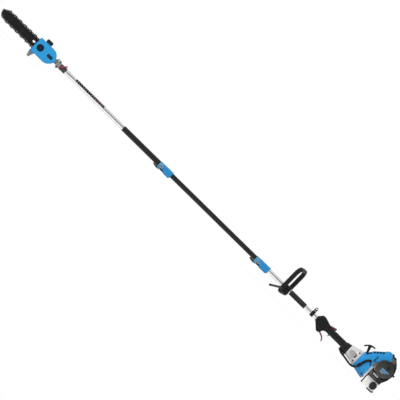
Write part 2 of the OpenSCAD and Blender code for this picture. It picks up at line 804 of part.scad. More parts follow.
// Two centrifugal shoes with their spring, fixed on the crankshaft
module clutch_shoes() {
  color(steel * 0.8) at_pole() difference() {
    rod_x(clutch_x + 31, clutch_x + 52, 55);
    rod_x(clutch_x + 30, clutch_x + 53, 12);
    translate([clutch_x + 30, -36, -2]) cube([23, 25, 4]);
    translate([clutch_x + 30, 11, -2]) cube([23, 25, 4]);
    for (s = [-1, 1]) translate([clutch_x + 30, 0, s * 15]) rotate([0, 90, 0]) cylinder(h = 23, d = 9);
    difference() {
      rod_x(clutch_x + 45, clutch_x + 53, 49);
      rod_x(clutch_x + 44, clutch_x + 54, 42);
    }
  }
}

module crankshaft() {
  color(steel) at_pole() union() {
    rod_x(clutch_x + 31, fan_x + 106, 12);
    rod_x(fan_x + 52, fan_x + 60, 18);
  }
}

// Flywheel with fan blades and the cone seat on the crankshaft
module flywheel() {
  color(silver * 0.85) at_pole() difference() {
    union() {
      rod_x(housing_x + 40, housing_x + 46, 104);
      rod_x(housing_x + 34, housing_x + 60, 34);
      for (a = [0 : 24 : 336]) rotate([a, 0, 0]) translate([housing_x + 28, 22, -1.2]) cube([12.5, 28, 2.4]);
    }
    rod_x(housing_x + 20, housing_x + 70, 12);
    rotate([20, 0, 0]) translate([housing_x + 39, -8, 40]) cube([8, 16, 20]);
  }
}

// Starter reel with its rope groove, running on the crankcase side of the clutch
module starter_reel() {
  color(black * 1.5) at_pole() difference() {
    rod_x(housing_x + 13, housing_x + 22, 72);
    rod_x(housing_x + 12, housing_x + 23, 24 + 2 * running);
    difference() {
      rod_x(housing_x + 15.5, housing_x + 19.5, 80);
      rod_x(housing_x + 15, housing_x + 20, 58);
    }
    for (a = [0 : 60 : 300]) rotate([a, 0, 0]) translate([0, 0, 20]) rod_x(housing_x + 12, housing_x + 23, 8);
  }
}

// Pull handle of the starter with the first length of its rope
pull = [-0.344, 0, 0.939];
module starter_handle() {
  color(black) at_pole() union() {
    plate_y(-6.5, 6.5) polygon([[324.8, 77], [325.6, 79.8], [331.5, 87], [338.8, 94.4], [346, 100.6],
      [354.5, 105.3], [366.3, 108], [378.8, 108.7], [382.4, 107.2], [383.2, 103.8], [381, 100.7],
      [372, 99.8], [365, 98], [361.4, 94], [360.8, 88], [363.4, 81], [366.5, 72], [368.9, 66.6],
      [361.6, 56.9], [359.4, 56.6], [354.8, 69.7], [350, 80.5], [345, 87.4], [341.6, 86.6],
      [337.4, 81], [332.8, 74.6], [329.4, 72.6], [326, 73.8]]);
    link_rod([366, 0, 56] - 17 * pull, [366, 0, 56] + 12 * pull, 4);
  }
}

// Fan housing with the shroud over the cylinder, chamber for the fan, slots and louvre
fan_x = housing_x + 10;
side_screws = [[-58, 22], [-42.5, -47]];
module fan_shell() {
  difference() {
    intersection() {
      translate([fan_x, 0, 0]) plate_y(-fan_r, fan_r) polygon([[-6.5, -43], [-6.5, 50], [1, 55], [17.5, 77],
        [28.5, 93.5],
        [67, 126.5], [89, 149.5], [98, 151.6], [106, 151], [117, 145], [125, 137.5], [136, 121], [136, 60],
        [74.5, 60], [74.5, -fan_r], [67, -fan_r], [12, -52.5], [-4, -46]]);
      plate_x(housing_x - 1, fan_x + 137) union() {
        circle(r = fan_r);
        soft_rect(-48, 0, 48, 152, 20);
      }
    }
    rod_x(fan_x, fan_x + 82, 2 * fan_r - 20);
    translate([fan_x, 0, 0]) plate_y(-43, 43) polygon([[46, 20], [46, 98], [70, 120], [93, 143.5],
      [105, 145.5], [114, 140], [121, 133], [137, 113], [137, 20]]);
  }
}

module fan_housing() {
  color(blue) at_pole() difference() {
    union() {
      fan_shell();
      rod_x(fan_x - 9, fan_x + 12.4, 24);
    }
    rod_x(housing_x - 2, fan_x + 14, 13);
    // cooling slots along the sloping top
    for (k = [0 : 3]) {
      translate([fan_x + 30 + 12.5 * k, -34, 84.5 + 10.7 * k]) rotate([0, -40.5, 0]) cube([6, 68, 34]);
      translate([fan_x + 28.5 + 12.5 * k, -60, 89 + 10.7 * k]) rotate([0, -40.5, 0]) cube([9, 98, 20]);
    }
    // louvre in the near and far sides
    for (s = [-1, 1]) for (k = [0 : 4]) translate([fan_x + 60, s * 47 - 2.5, 50 + 7 * k]) cube([9, 5, 3.6]);
    // rope outlet, plug cap notch and cover screw recesses
    link_rod([366, 0, 56] - 30 * pull, [366, 0, 56] + 12 * pull, 8);
    translate([fan_x + 118, 0, 120]) cylinder(h = 40, d = 19);
    for (p = side_screws) translate([fan_x + 64, 0, p[1]]) {
      rod_y(-100, p[0], 11);
      rod_y(p[0] - 1, p[0] + 5, 5);
    }
  }
}

// Crankcase with its main bearings bored for the crankshaft, and the rear flange
module crankcase() {
  color(silver) at_pole() difference() {
    union() {
      intersection() {
        rod_x(fan_x + 54, fan_x + 80, 2 * fan_r - 24);
        translate([fan_x + 50, -60, -60]) cube([40, 120, 87.5]);
      }
      plate_x(fan_x + 74.8, fan_x + 86.7) soft_rect(-52, -46, 52, 23, 10);
      plate_x(fan_x + 66, fan_x + 120) soft_rect(-19, -2, 19, 27.5, 6);
      rod_x(fan_x + 85, fan_x + 112, 34);
    }
    rod_x(fan_x + 50, fan_x + 108, 12 + 2 * running);
    rod_x(fan_x + 50, fan_x + 63, 24);
  }
}

// Cylinder with cooling fins, head on top
module cylinder_block() {
  color(silver * 0.9) at_pole() translate([fan_x + 92, 0, 0]) difference() {
    union() {
      translate([0, 0, 28]) cylinder(h = 88, d = 50);
      translate([25, 0, 108]) cylinder(h = 18.2, d = 18);
      // fins, cut back where the shroud slopes in
      for (z = [38 : 8 : 118]) translate([0, 0, z])
        linear_extrude(2.2) soft_rect(max(-36, z * 1.12 - 152), -36, min(36, 135 - z * 0.85), 36, 8);
    }
    translate([0, 0, 27]) cylinder(h = 80, d = 34);
  }
}

module carburetor() {
  color(silver * 0.8) at_pole() difference() {
    union() {
      translate([fan_x + 132.5, -38, 30]) cube([33, 36, 34]);
      translate([fan_x + 128.3, -30, 34]) cube([5, 26, 26]);
      translate([fan_x + 149, -14, 64]) cylinder(h = 9, d = 14);
    }
    translate([fan_x + 149, 0, 46]) rod_y(-40, 0, 16);
  }
}

// Air box behind the round cover: backing disc, lower body with the choke recess, rear boss
cover_c = [138.5, 58.5];
choke_z = 2.1;
module air_box() {
  color(black * 1.3) at_pole() translate([fan_x, 0, 0]) difference() {
    union() {
      plate_y(-56, -20) polygon([[92.5, -25], [166, -25], [172.5, -21], [180, 0], [191, 22],
        [196.4, 55], [193.6, 82], [182.5, 107], [166, 126.5], [151, 139], [140, 143], [140, 30],
        [92.5, 14]]);
      plate_y(-56, -48.8) polygon([[119.5, 143], [127.5, 134], [135.5, 123.5], [136.5, 110], [148, 110],
        [151, 139], [147, 141.5], [135, 143.5], [126, 149], [121, 150]]);
      translate([cover_c[0], 0, cover_c[1]]) rod_y(-60, -50, 2 * cover_r + 2);
      plate_y(-82, -50) soft_rect(92.5, -25, 177, cover_c[1] - cover_r - 0.5, 5);
      translate([191, -46, 66]) rotate([0, 90, 0]) cylinder(h = 14, d = 12);
    }
    // air passage to the carburettor and the space around it
    translate([cover_c[0], 0, cover_c[1]]) rod_y(-61, -42, 80);
    translate([149, 0, 46]) rod_y(-61, -10, 16);
    translate([118, -38.4, 26]) cube([50, 30, 52]);
    plate_y(-83, -77) soft_rect(102, -17.5, 150, 10, 5);
    translate([114, 0, choke_z]) rod_y(-83, -60, 4 + 2 * running);
  }
}

// Domed round cover over the air filter
knob_at = [12, 19];
module air_cover() {
  color([0.235, 0.225, 0.22]) at_pole() translate([fan_x + cover_c[0], 0, cover_c[1]]) difference() {
    union() {
      rod_y(7 - 60 - cover_depth, -60, 2 * cover_r);
      translate([0, 7 - 60 - cover_depth, 0]) rotate([90, 0, 0]) cylinder(h = 7, r1 = cover_r, r2 = cover_r
        - 7);
    }
    rod_y(3 - 60 - cover_depth, -59, 2 * cover_r - 14);
    translate([knob_at[0], 0, knob_at[1]]) rod_y(-61 - cover_depth, -50, 8);
    // shallow ring groove in the face
    difference() {
      rod_y(-61 - cover_depth, -58.8 - cover_depth, 80);
      rod_y(-62 - cover_depth, -58 - cover_depth, 76);
    }
  }
}

module air_cover_knob() {
  color(black) at_pole() translate([fan_x + cover_c[0] + knob_at[0], 0, cover_c[1] + knob_at[1]])
    difference() {
    union() {
      rod_y(-66 - cover_depth, -60 - cover_depth - play, 15);
      rod_y(-61 - cover_depth, -64, 7.8);
    }
    translate([-6, -67 - cover_depth, -1]) cube([12, 3, 2]);
  }
}

// Light grey choke lever in the recess of the air box
module choke_lever() {
  color(silver * 0.85) at_pole() translate([fan_x + 114, 0, choke_z]) union() {
    plate_y(-81, -77 - play) soft_rect(-6, -4.8, 30, 4.8, 4.7);
    plate_y(-85, -80) soft_rect(18, -4.8, 30, 4.8, 4.7);
    rod_y(-78, -62, 4);
  }
}

module muffler() {
  color(black * 1.8) at_pole() difference() {
    union() {
      plate_y(49.5, 94) soft_rect(fan_x + 84, 30, fan_x + 136, 112, 12);
      plate_y(36.2, 49.5) soft_rect(fan_x + 100, 34, fan_x + 134, 58, 6);
    }
    for (k = [0 : 4]) translate([fan_x + 92, 92.5, 44 + 11 * k]) cube([36, 4, 5]);
    translate([fan_x + 126, 72, 96]) rotate([0, 90, 0]) cylinder(h = 20, d = 12);
  }
}

module spark_plug_boot() {
  color(black) at_pole() translate([fan_x + 118, 0, 0]) union() {
    translate([0, 0, 126.3]) cylinder(h = 22, d = 16);
    translate([0, 0, 148]) cylinder(h = 6, d1 = 16, d2 = 12);
    translate([0, -4, 140]) cube([20, 8, 8]);
  }
}

// Translucent fuel tank, hollow, its filler facing sideways
module fuel_tank() {
  color([0.92, 0.92, 0.89]) at_pole() translate([fan_x, 0, 0]) difference() {
    union() {
      intersection() {
        plate_y(-tank_half, tank_half) soft_rect(93, -79, 173.5, -26.5, 9);
        translate([0, 0, -100]) linear_extrude(100) soft_rect(93, -tank_half, 173.5, tank_half, 10);
      }
      translate([156, 0, -50]) rod_y(-tank_half - 4, -tank_half + 4, 36);
    }
    plate_y(3 - tank_half, tank_half - 3) soft_rect(96, -74, 170.5, -29.5, 7);
    translate([156, 0, -50]) rod_y(-tank_half - 5, -tank_half + 5, 30);
    translate([90, -9, -80]) cube([60, 18, 4]);
  }
}

module fuel_cap() {
  color(black) at_pole() translate([fan_x + 156, -tank_half - 4 - play, -50]) difference() {
    union() {
      rod_y(-13, 0, fuel_cap_d);
      rod_y(-16, -13, fuel_cap_d - 14);
      rod_y(0, 8, 29.2);
    }
    for (a = [0 : 30 : 330]) rotate([0, a, 0]) translate([fuel_cap_d / 2 + 1, 0, 0]) rod_y(-14, 0.1, 6, $fn
      = 24);
  }
}

// Rear bracket and foot that hold the tank and carry the engine on the ground
module tank_stand() {
  color(black) at_pole() translate([fan_x, 0, 0]) union() {
    difference() {
      plate_x(87, 92) soft_rect(-46, -79.5, 46, 23, 6);
      translate([80, -20, -18.5]) cube([20, 40, 60]);
    }
    translate([87, -8.5, -79.5]) cube([62, 17, 3.2]);
    plate_y(-50, 50) polygon([[133, -79.3], [168.5, -79.3], [172.5, -75.5], [177.5, -73], [176.5, -81],
      [167, -foot_drop], [139, -foot_drop]]);
  }
}

// Screws of one size: clutch flange, loop handle saddle, fan housing side
module housing_screws() {
  color(steel * 0.55) at_pole() {
    for (a = flange_screws) rotate([a, 0, 0]) translate([housing_x - 6.5, 0, clutch_r - 2])
      rotate([0, -90, 0]) socket_screw(7);
    translate([housing_x - 21, 0, 40]) socket_screw(6.8);
    for (p = side_screws) translate([fan_x + 64, p[0], p[1]]) rotate([90, 0, 0]) socket_screw(4.6);
    translate([loop_x, 0, 0]) rotate([loop_tilt, 0, 0]) for (x = [-17, 17]) for (y = [-20, 20])
      translate([x, y, 19]) socket_screw(40);
  }
}

guide_bar();
saw_chain();
drive_sprocket();
output_gear_shaft();
bevel_pinion();
gear_case();
oil_tank();
oil_cap();
sprocket_cover();
bar_nuts();
head_clamp();
head_clamp_screws();
head_coupling();
coupling_lever();
upper_tube();
upper_sleeve();
upper_clamp();
upper_clamp_lever();
upper_pull_pin();
upper_drive_tube();
mid_tube();
mid_drive_rod();
lower_clamp();
lower_clamp_lever();
lower_pull_pin();
lower_tube();
lower_drive_shaft();
shaft_bushes();
loop_handle();
loop_clamp_cap();
barrier_bar();
foam_grip();
harness_clamp();
throttle_shell_left();
throttle_shell_right();
trigger();
lockout_lever();
stop_switch();
throttle_cable();
clutch_housing();
clutch_drum();
clutch_shoes();
crankshaft();
flywheel();
starter_reel();
starter_handle();
fan_housing();
crankcase();
cylinder_block();
carburetor();
choke_lever();
air_box();
air_cover();
air_cover_knob();
muffler();
spark_plug_boot();
fuel_tank();
fuel_cap();
tank_stand();
housing_screws();
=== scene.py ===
# Telescoping pole saw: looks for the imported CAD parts, in the order in which the tool is put together.
import math

import bpy
from mathutils import Matrix, Vector


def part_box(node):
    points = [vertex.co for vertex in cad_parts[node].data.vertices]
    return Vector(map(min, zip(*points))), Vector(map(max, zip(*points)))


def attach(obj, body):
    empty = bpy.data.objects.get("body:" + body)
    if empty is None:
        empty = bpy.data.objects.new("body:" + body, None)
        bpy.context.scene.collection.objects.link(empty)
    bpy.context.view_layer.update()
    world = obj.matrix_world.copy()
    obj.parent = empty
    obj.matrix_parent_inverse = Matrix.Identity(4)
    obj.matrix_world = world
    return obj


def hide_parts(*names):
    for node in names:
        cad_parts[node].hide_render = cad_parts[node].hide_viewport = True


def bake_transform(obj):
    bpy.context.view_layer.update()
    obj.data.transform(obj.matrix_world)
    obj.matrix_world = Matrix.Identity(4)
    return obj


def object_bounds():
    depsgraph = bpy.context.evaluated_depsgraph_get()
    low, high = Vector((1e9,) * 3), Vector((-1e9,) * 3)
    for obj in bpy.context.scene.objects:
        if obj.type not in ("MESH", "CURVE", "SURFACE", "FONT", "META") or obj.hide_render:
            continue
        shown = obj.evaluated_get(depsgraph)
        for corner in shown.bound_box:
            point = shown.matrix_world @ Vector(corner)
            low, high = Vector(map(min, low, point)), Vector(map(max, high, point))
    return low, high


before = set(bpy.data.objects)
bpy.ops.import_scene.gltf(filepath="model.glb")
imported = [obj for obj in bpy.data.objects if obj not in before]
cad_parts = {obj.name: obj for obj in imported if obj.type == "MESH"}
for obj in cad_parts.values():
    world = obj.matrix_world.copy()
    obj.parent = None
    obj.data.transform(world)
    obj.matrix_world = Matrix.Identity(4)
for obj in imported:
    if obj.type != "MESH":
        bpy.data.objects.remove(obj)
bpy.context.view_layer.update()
bpy.ops.object.select_all(action="DESELECT")


# Saw chain: loop of steel drive links, tie straps and cutters, stamped and riveted, dark with
# bar oil and worn bright where it rubs. Its finish also introduces how every finish is written.
class Value:
    """A number socket that can be used in Python sums; each operator adds a Math node."""

    def __init__(self, finish, socket):
        self.finish, self.socket = finish, socket

    def math(self, operation, *others):
        return self.finish.add("ShaderNodeMath", {"operation": operation}, [self, *others])

    def __add__(self, other):
        return self.math("ADD", other)

    __radd__ = __add__

    def __mul__(self, other):
        return self.math("MULTIPLY", other)

    __rmul__ = __mul__

    def __sub__(self, other):
        return self.math("SUBTRACT", other)

    def __rsub__(self, other):
        return self.finish.add("ShaderNodeMath", {"operation": "SUBTRACT"}, [other, self])

    def __truediv__(self, other):
        return self.math("DIVIDE", other)

    def over(self, edge):
        return self.math("GREATER_THAN", edge)

    def under(self, edge):
        return self.math("LESS_THAN", edge)

    def within(self, low, high):
        return self.over(low) * self.under(high)


class Finish:
    """A material with one surface shader, whose sockets are set by name."""

    def __init__(self, name, colour, roughness, metallic=0.0, **sockets):
        self.material = bpy.data.materials.new(name)
        self.material.use_nodes = True
        self.nodes = self.material.node_tree.nodes
        self.links = self.material.node_tree.links
        self.surface = self.nodes["Principled BSDF"]
        self.colour = colour
        self.set(Base_Color=colour, Roughness=roughness, Metallic=metallic, **sockets)

    def put(self, socket, value):
        if isinstance(value, Value):
            self.links.new(value.socket, socket)
        elif isinstance(value, tuple) and socket.type == "RGBA":
            socket.default_value = (*value, 1.0)
        else:
            socket.default_value = value

    def set(self, **sockets):
        for name, value in sockets.items():
            self.put(self.surface.inputs[name.replace("_", " ")], value)
        return self

    def add(self, kind, settings, values, output=0):
        node = self.nodes.new(kind)
        for name, value in settings.items():
            setattr(node, name, value)
        pairs = values.items() if isinstance(values, dict) else enumerate(values)
        for name, value in pairs:
            self.put(node.inputs[name], value)
        return Value(self, node.outputs[output])

    def place(self):
        return self.add("ShaderNodeTexCoord", {}, [], "Object")

    def along(self, axis):
        """The place along axis 0, 1 or 2, in metres."""
        return self.add("ShaderNodeSeparateXYZ", {}, [self.place()], axis)

    def off_axis(self, centre_x, centre_z):
        """The squared distance from a line along Y."""
        return (self.along(0) - centre_x).math("POWER", 2.0) + (self.along(2) - centre_z).math("POWER", 2.0)

    def noise(self, scale, detail=3.0, stretch=(1, 1, 1)):
        spot = self.add("ShaderNodeMapping", {}, {"Vector": self.place(), "Scale": stretch})
        return self.add("ShaderNodeTexNoise", {}, {"Vector": spot, "Scale": scale, "Detail": detail})

    def mix(self, mask, low, high):
        node = self.nodes.new("ShaderNodeMix")
        node.data_type = "RGBA"
        for socket, value in ((0, mask), (6, low), (7, high)):
            self.put(node.inputs[socket], value)
        return Value(self, node.outputs[2])

    def grain(self, scale, height, stretch=(1, 1, 1), colour_change=0.0, roughness_change=0.0):
        """Fine unevenness of the surface, in height, shade and gloss."""
        bumps = self.noise(scale, 4.0, stretch)
        relief = {"Height": bumps, "Distance": height, "Strength": 1.0}
        self.set(Normal=self.add("ShaderNodeBump", {}, relief))
        wear = self.noise(scale / 12, 3.0, stretch)
        if colour_change:
            darker = tuple(c * (1 - colour_change) for c in self.colour)
            lighter = tuple(min(1, c * (1 + colour_change)) for c in self.colour)
            self.set(Base_Color=self.mix(wear, darker, lighter))
        if roughness_change:
            base = self.surface.inputs["Roughness"].default_value
            self.set(Roughness=wear * roughness_change + (base - roughness_change / 2))
        return self


def paint(finish, *nodes):
    for node in nodes:
        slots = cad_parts[node].data.materials
        for i in range(len(slots)):
            slots[i] = finish.material


chain_steel = Finish("oiled_chain_steel", (0.036, 0.035, 0.034), 0.38, 0.5, Specular_IOR_Level=0.3)
chain_steel.grain(900, 0.00008, colour_change=0.5, roughness_change=0.25)
paint(chain_steel, "saw_chain")

# Guide bar: three plates of steel laminated, ground and painted black, with a slot for its
# two studs and an oval hole.
bar_paint = Finish("black_bar_paint", (0.011, 0.011, 0.0115), 0.42, 0.0, Specular_IOR_Level=0.15)
bar_paint.grain(500, 0.00003, colour_change=0.25, roughness_change=0.2)
paint(bar_paint, "guide_bar")

# Gears, shafts and drive tubes: turned and ground steel, left bare. They carry the drive from the
# crankshaft through the pole to the chain sprocket.
bare_steel = Finish("turned_steel", (0.56, 0.56, 0.57), 0.3, 1.0)
bare_steel.grain(1500, 0.00002, (0.05, 1, 1), 0.15, 0.15)
paint(bare_steel, "drive_sprocket", "output_gear_shaft", "bevel_pinion", "upper_drive_tube",
      "mid_drive_rod", "lower_drive_shaft", "clutch_drum", "clutch_shoes", "crankshaft")

# Gear case with the branch hook: grey sand-cast aluminium, shot-blasted, and darker at its neck,
# which sticks out of the sprocket cover. The carburettor body is cast in the same alloy.
hook_grey, neck_grey = (0.27, 0.285, 0.295), (0.145, 0.15, 0.152)
neck_under_cover = 0.02
cast_grey = Finish("blasted_casting", hook_grey, 0.55, 0.15, Specular_IOR_Level=0.35)
cast_grey.grain(1300, 0.00012, colour_change=0.18, roughness_change=0.2)
past_cover = cast_grey.along(0).over(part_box("sprocket_cover")[1][0] - neck_under_cover)
cast_grey.set(Base_Color=cast_grey.mix(past_cover, hook_grey, neck_grey))
paint(cast_grey, "gear_case", "carburetor")

# Sprocket cover and oil tank: injection-moulded blue nylon; the nut recess and the side panel
# of the cover are painted very dark blue, as shade deep in these hollows.
blue, recess_shade_blue = (0.020, 0.262, 0.560), (0.006, 0.030, 0.052)
blue_plastic = Finish("blue_nylon", blue, 0.36, Specular_IOR_Level=0.32)
blue_plastic.grain(1600, 0.00004, colour_change=0.05, roughness_change=0.12)
paint(blue_plastic, "oil_tank")

cover_low, cover_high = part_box("sprocket_cover")
nuts_low, nuts_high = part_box("bar_nuts")
recess_x = (nuts_low[0] + nuts_high[0]) / 2
recess_z = (nuts_low[2] + nuts_high[2]) / 2
recess_r, face_skin = 0.0211, 0.0004
panel_start, panel_end, panel_half_height, panel_depth = 0.0552, 0.0168, 0.0098, 0.004
cover_plastic = Finish("blue_nylon_with_dark_recess", blue, 0.36, Specular_IOR_Level=0.32)
cover_plastic.grain(1600, 0.00004, roughness_change=0.12)
x, y, z = (cover_plastic.along(a) for a in range(3))
behind_face = y.over(cover_low[1] + face_skin)
in_recess = cover_plastic.off_axis(recess_x, recess_z).under(recess_r**2) * behind_face
in_panel = x.within(cover_high[0] - panel_start, cover_high[0] - panel_end)
in_panel = in_panel * y.under(cover_low[1] + panel_depth)
in_panel = in_panel * z.within(recess_z - panel_half_height, recess_z + panel_half_height)
# painted shade: the insides of the nut recess and of the panel pocket are coloured very dark blue
recess_shade = in_recess.math("MAXIMUM", in_panel * behind_face)
cover_plastic.set(Base_Color=cover_plastic.mix(recess_shade, blue, recess_shade_blue))
paint(cover_plastic, "sprocket_cover")

# Filler caps, head coupling, handles, levers and knobs: black moulded nylon with a fine texture.
# The coupling is worn paler by the hand that turns it.
black_plastic = Finish("black_nylon", (0.0105, 0.0105, 0.011), 0.48, Specular_IOR_Level=0.14)
black_plastic.grain(1400, 0.00005, colour_change=0.2, roughness_change=0.2)
cap_plastic = Finish("black_cap_nylon", (0.018, 0.020, 0.021), 0.5, Specular_IOR_Level=0.2)
cap_plastic.grain(1400, 0.00005, colour_change=0.2, roughness_change=0.2)
paint(cap_plastic, "oil_cap", "fuel_cap")
coupling_black = Finish("worn_black_nylon", (0.040, 0.042, 0.037), 0.5, Specular_IOR_Level=0.2)
coupling_black.grain(1400, 0.00005, colour_change=0.3, roughness_change=0.2)
paint(coupling_black, "head_coupling")
paint(black_plastic, "upper_clamp_lever", "lower_clamp_lever", "loop_handle",
      "loop_clamp_cap", "harness_clamp", "stop_switch", "starter_reel", "air_cover_knob",
      "tank_stand", "throttle_shell_left", "throttle_shell_right", "starter_handle")

# Nuts and screws: cold-headed steel, blackened. They hold the bar, the head clamp and the
# engine's housings.
dark_steel = Finish("blackened_steel", (0.022, 0.023, 0.028), 0.42, 0.3, Specular_IOR_Level=0.3)
dark_steel.grain(1500, 0.00003, colour_change=0.2)
paint(dark_steel, "bar_nuts", "head_clamp_screws", "housing_screws")

# Crankcase, cylinder and flywheel: pressure-cast aluminium, bead-blasted pale. The head clamp is a
# ring of greyer steel, pressed and bent.
cast_pale = Finish("pale_casting", (0.68, 0.675, 0.67), 0.5, 0.1, Specular_IOR_Level=0.35)
cast_pale.grain(1100, 0.00010, colour_change=0.08, roughness_change=0.2)
paint(cast_pale, "crankcase", "cylinder_block", "flywheel")
ring_steel = Finish("pressed_ring", (0.26, 0.26, 0.255), 0.45, 0.3)
ring_steel.grain(1100, 0.00006, colour_change=0.1, roughness_change=0.2)
paint(ring_steel, "head_clamp")

# Red levers: moulded nylon, dark red on the trigger and its lockout, brighter on the head
# coupling's lock.
lever_red = Finish("raspberry_nylon", (0.26, 0.033, 0.060), 0.42, Specular_IOR_Level=0.3)
lever_red.grain(1500, 0.00004, colour_change=0.1)
paint(lever_red, "coupling_lever")
trigger_red = Finish("dark_red_nylon", (0.125, 0.020, 0.027), 0.42, Specular_IOR_Level=0.3)
trigger_red.grain(1500, 0.00004, colour_change=0.1)
paint(trigger_red, "trigger", "lockout_lever")

# Upper and lower tubes: drawn aluminium, clear anodised, with fine lines along the draw. A sleeve
# of print with plain colour bands stands in the place of the label on the upper tube.
tube_grey = (0.62, 0.616, 0.61)
anodised = Finish("anodised_tube", tube_grey, 0.22, 0.8)
anodised.grain(1200, 0.00002, (0.02, 1, 1), 0.06, 0.15)
paint(anodised, "lower_tube")

labelled = Finish("anodised_tube_with_dashes", tube_grey, 0.22, 0.8)
labelled.grain(1200, 0.00002, (0.02, 1, 1), roughness_change=0.15)
tube_low, tube_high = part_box("upper_tube")
x, y, z = (labelled.along(a) for a in range(3))
axis_z = (tube_low[2] + tube_high[2]) / 2
print_start, print_length, print_foot, print_top = 0.098, 0.216, 0.0014, 0.0170
dash_pitch, dash_share = 0.0135, 0.90
along_print = x - (tube_low[0] + print_start)
ink = (0.005, 0.007, 0.024)
for ink_start, next_ink in (
    (0.094, (0.014, 0.012, 0.003)), (0.164, (0.085, 0.024, 0.028)), (0.209, (0.012, 0.012, 0.016)),
):
    ink = labelled.mix(along_print.over(ink_start), ink, next_ink)
dash = (along_print / dash_pitch).math("FRACT").under(dash_share)
band = z.within(axis_z + print_foot, axis_z + print_top) * y.under(0.0)
printed = along_print.within(0.0, print_length) * dash * band
labelled.set(Base_Color=labelled.mix(printed, tube_grey, ink))
paint(labelled, "upper_tube")

# Black tubes of the telescope: drawn aluminium, powder-coated. The sleeve is bonded to the upper
# tube and slides in the middle tube.
sleeve_black = Finish("black_powder_coat", (0.013, 0.013, 0.0135), 0.45, Specular_IOR_Level=0.17)
sleeve_black.grain(1500, 0.00004, colour_change=0.15, roughness_change=0.15)
paint(sleeve_black, "upper_sleeve", "mid_tube")

# Tube clamps: blue nylon bodies with a paler collar round the pull pin; the gap under the
# collar, between the lever and the clamp, is painted black as shade.
clamp_blue, pale_collar_blue, gap_shade_black = (0.014, 0.200, 0.430), (0.085, 0.26, 0.39), (0.008, 0.008, 0.0085)
collar_end, collar_fade, collar_share = 0.030, 0.008, 0.75
gap_shade_start, gap_shade_end, gap_shade_top, gap_shade_half_width = 0.0183, 0.0446, -0.0163, 0.00875
for clamp in ("upper_clamp", "lower_clamp"):
    clamp_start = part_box(clamp)[0][0]
    clamp_plastic = Finish(clamp + "_nylon", clamp_blue, 0.38, Specular_IOR_Level=0.25)
    clamp_plastic.grain(1600, 0.00004, roughness_change=0.12)
    x, y, z = (clamp_plastic.along(a) for a in range(3))
    # the collar is paler towards the front end of the clamp
    pale_collar = (x - (clamp_start + collar_end)) / -collar_fade
    pale_collar = pale_collar.math("MAXIMUM", 0.0).math("MINIMUM", 1.0) * collar_share
    shade = clamp_plastic.mix(pale_collar, clamp_blue, pale_collar_blue)
    # painted shade: the gap under the collar is coloured black
    gap_shade = x.within(clamp_start + gap_shade_start, clamp_start + gap_shade_end) * z.under(axis_z + gap_shade_top)
    gap_shade = gap_shade * y.within(-gap_shade_half_width, gap_shade_half_width)
    clamp_plastic.set(Base_Color=clamp_plastic.mix(gap_shade, shade, gap_shade_black))
    paint(clamp_plastic, clamp)

# Pull pins: turned steel with a ring at the head, nickel-plated. A spring holds each one in its
# clamp, and the seat round the plunger, in the hollow of the ring, is painted dark as shade.
nickel_colour, seat_shade_colour, seat_r = (0.46, 0.56, 0.63), (0.10, 0.12, 0.15), 0.0044
for pin in ("upper_pull_pin", "lower_pull_pin"):
    pin_low, pin_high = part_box(pin)
    nickel = Finish(pin + "_nickel", nickel_colour, 0.3, 0.6)
    nickel.grain(900, 0.00001, roughness_change=0.1)
    pin_middle = (pin_low[0] + pin_high[0]) / 2, (pin_low[2] + pin_high[2]) / 2
    # painted shade: the hollow in the middle of the ring is coloured dark
    seat_shade = nickel.off_axis(*pin_middle).under(seat_r**2)
    nickel.set(Base_Color=nickel.mix(seat_shade, nickel_colour, seat_shade_colour))
    paint(nickel, pin)

# Shaft bushes: turned natural nylon, pressed into the tubes, where they hold the drive shaft in
# the middle.
natural_nylon = Finish("natural_nylon", (0.72, 0.69, 0.58), 0.5)
natural_nylon.grain(900, 0.00003, colour_change=0.05)
paint(natural_nylon, "shaft_bushes")

# Barrier bar: steel rod, bent and painted black. It is clamped under the loop handle and keeps
# the user's leg back.
black_paint = Finish("black_gloss_paint", (0.011, 0.011, 0.0115), 0.35, Specular_IOR_Level=0.25)
black_paint.grain(700, 0.00002, roughness_change=0.15)
paint(black_paint, "barrier_bar")

# Foam grip: closed-cell rubber foam tube, pushed over the pole, matt, with open pores at the
# surface.
foam = Finish("rubber_foam", (0.024, 0.024, 0.024), 0.92, Specular_IOR_Level=0.2)
foam.grain(700, 0.00035, colour_change=0.35)
paint(foam, "foam_grip")

# Throttle cable: a smooth rubber sleeve from the handle to the carburettor, with a bellows and a
# thicker conduit over its upper end. The ignition lead is of the same rubber.
rubber = Finish("black_rubber", (0.009, 0.009, 0.009), 0.6, Specular_IOR_Level=0.2)
rubber.grain(900, 0.00004, colour_change=0.2)
paint(rubber, "throttle_cable", "spark_plug_boot")


def from_pole(points):
    """Points in millimetres from the pole axis, brought into the frame in metres."""
    return [Vector((px / 1000, py / 1000, pz / 1000 + axis_z)) for px, py, pz in points]


def sleeve(name, points, radius):
    """A rubber sleeve or wire as one curve through its points."""
    bpy.ops.object.select_all(action="DESELECT")
    bpy.ops.curve.primitive_bezier_curve_add(location=(0, 0, 0))
    line = bpy.context.object
    line.name = name
    knots = line.data.splines[0].bezier_points
    knots.add(len(points) - 2)
    for knot, point in zip(knots, points):
        knot.co = point
        knot.handle_left_type = knot.handle_right_type = "AUTO"
    line.data.bevel_depth = radius
    line.data.bevel_resolution = 6
    line.data.resolution_u = 12
    line.data.use_fill_caps = True
    return line


